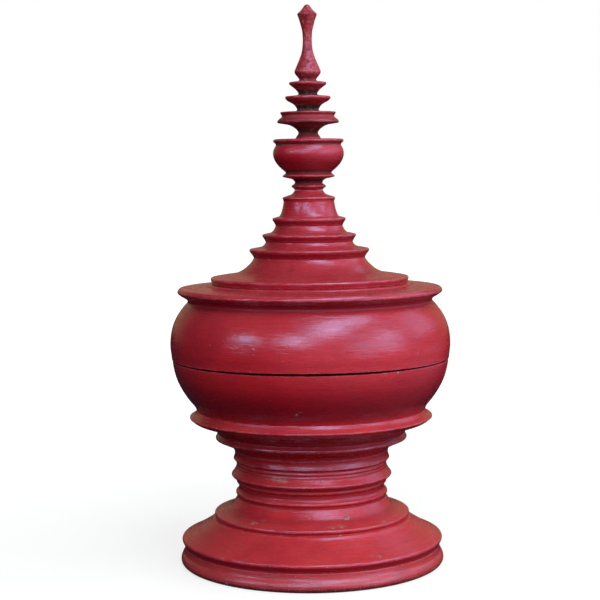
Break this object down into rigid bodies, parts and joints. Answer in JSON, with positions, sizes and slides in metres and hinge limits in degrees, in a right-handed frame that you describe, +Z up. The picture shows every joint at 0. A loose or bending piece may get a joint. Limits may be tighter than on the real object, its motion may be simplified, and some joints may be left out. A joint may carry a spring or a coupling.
{
  "type": "covered offering vessel",
  "caption": "Round covered vessel of turned and lacquered wood on a ringed stand, with an inner tray and a stepped lid that ends in a tall finial.",
  "frame": {"origin": "middle of the foot on the surface that it stands on", "axes": "+Z up along the turning axis; every direction round it is alike, and +Y points away from the picture's viewer"},
  "size_m": [0.336, 0.336, 0.667],
  "materials": {
    "red_lacquer": "aged cinnabar red lacquer on turned wood, semi-gloss, with fine turning rings, grime in the grooves and small worn chips",
    "dark_lacquer": "dark red lacquer inside the vessel, smooth and less worn",
    "bare_wood": "bare turned wood of the dowel and pegs"
  },
  "bodies": {
    "stand": {"foot_ring": "red_lacquer", "foot_dome": "red_lacquer", "foot_board": "dark_lacquer", "step_ring": "red_lacquer", "stem_drum": "red_lacquer", "stem_collar": "red_lacquer", "bowl_flange": "red_lacquer", "stand_dowel": "bare_wood", "bowl": "red_lacquer", "bowl_board": "dark_lacquer", "foot_peg_1": "bare_wood", "foot_peg_2": "bare_wood", "foot_peg_3": "bare_wood", "foot_peg_4": "bare_wood", "bowl_peg_1": "bare_wood", "bowl_peg_2": "bare_wood", "bowl_peg_3": "bare_wood"},
    "tray": {"inner_tray": "dark_lacquer"},
    "lid": {"lid_belly": "red_lacquer", "spire_base": "red_lacquer", "spire_tier_1": "red_lacquer", "spire_tier_2": "red_lacquer", "spire_tier_3": "red_lacquer", "spire_cap": "red_lacquer", "lid_peg_1": "bare_wood", "lid_peg_2": "bare_wood", "lid_peg_3": "bare_wood"},
    "finial": {"finial_bulb": "red_lacquer", "finial_parasols": "red_lacquer"}
  },
  "joints": [
    {"name": "lid_lift", "type": "slide", "parent": "stand", "child": "lid", "axis": [0, 0, 1], "range_m": [0, 0.2]},
    {"name": "tray_lift", "type": "slide", "parent": "stand", "child": "tray", "axis": [0, 0, 1], "range_m": [0, 0.08]},
    {"name": "finial_lift", "type": "slide", "parent": "lid", "child": "finial", "axis": [0, 0, 1], "range_m": [0, 0.03]}
  ],
  "couplings": [
    {"joint": "tray_lift", "follows": "lid_lift", "ratio": 0.4}
  ]
}
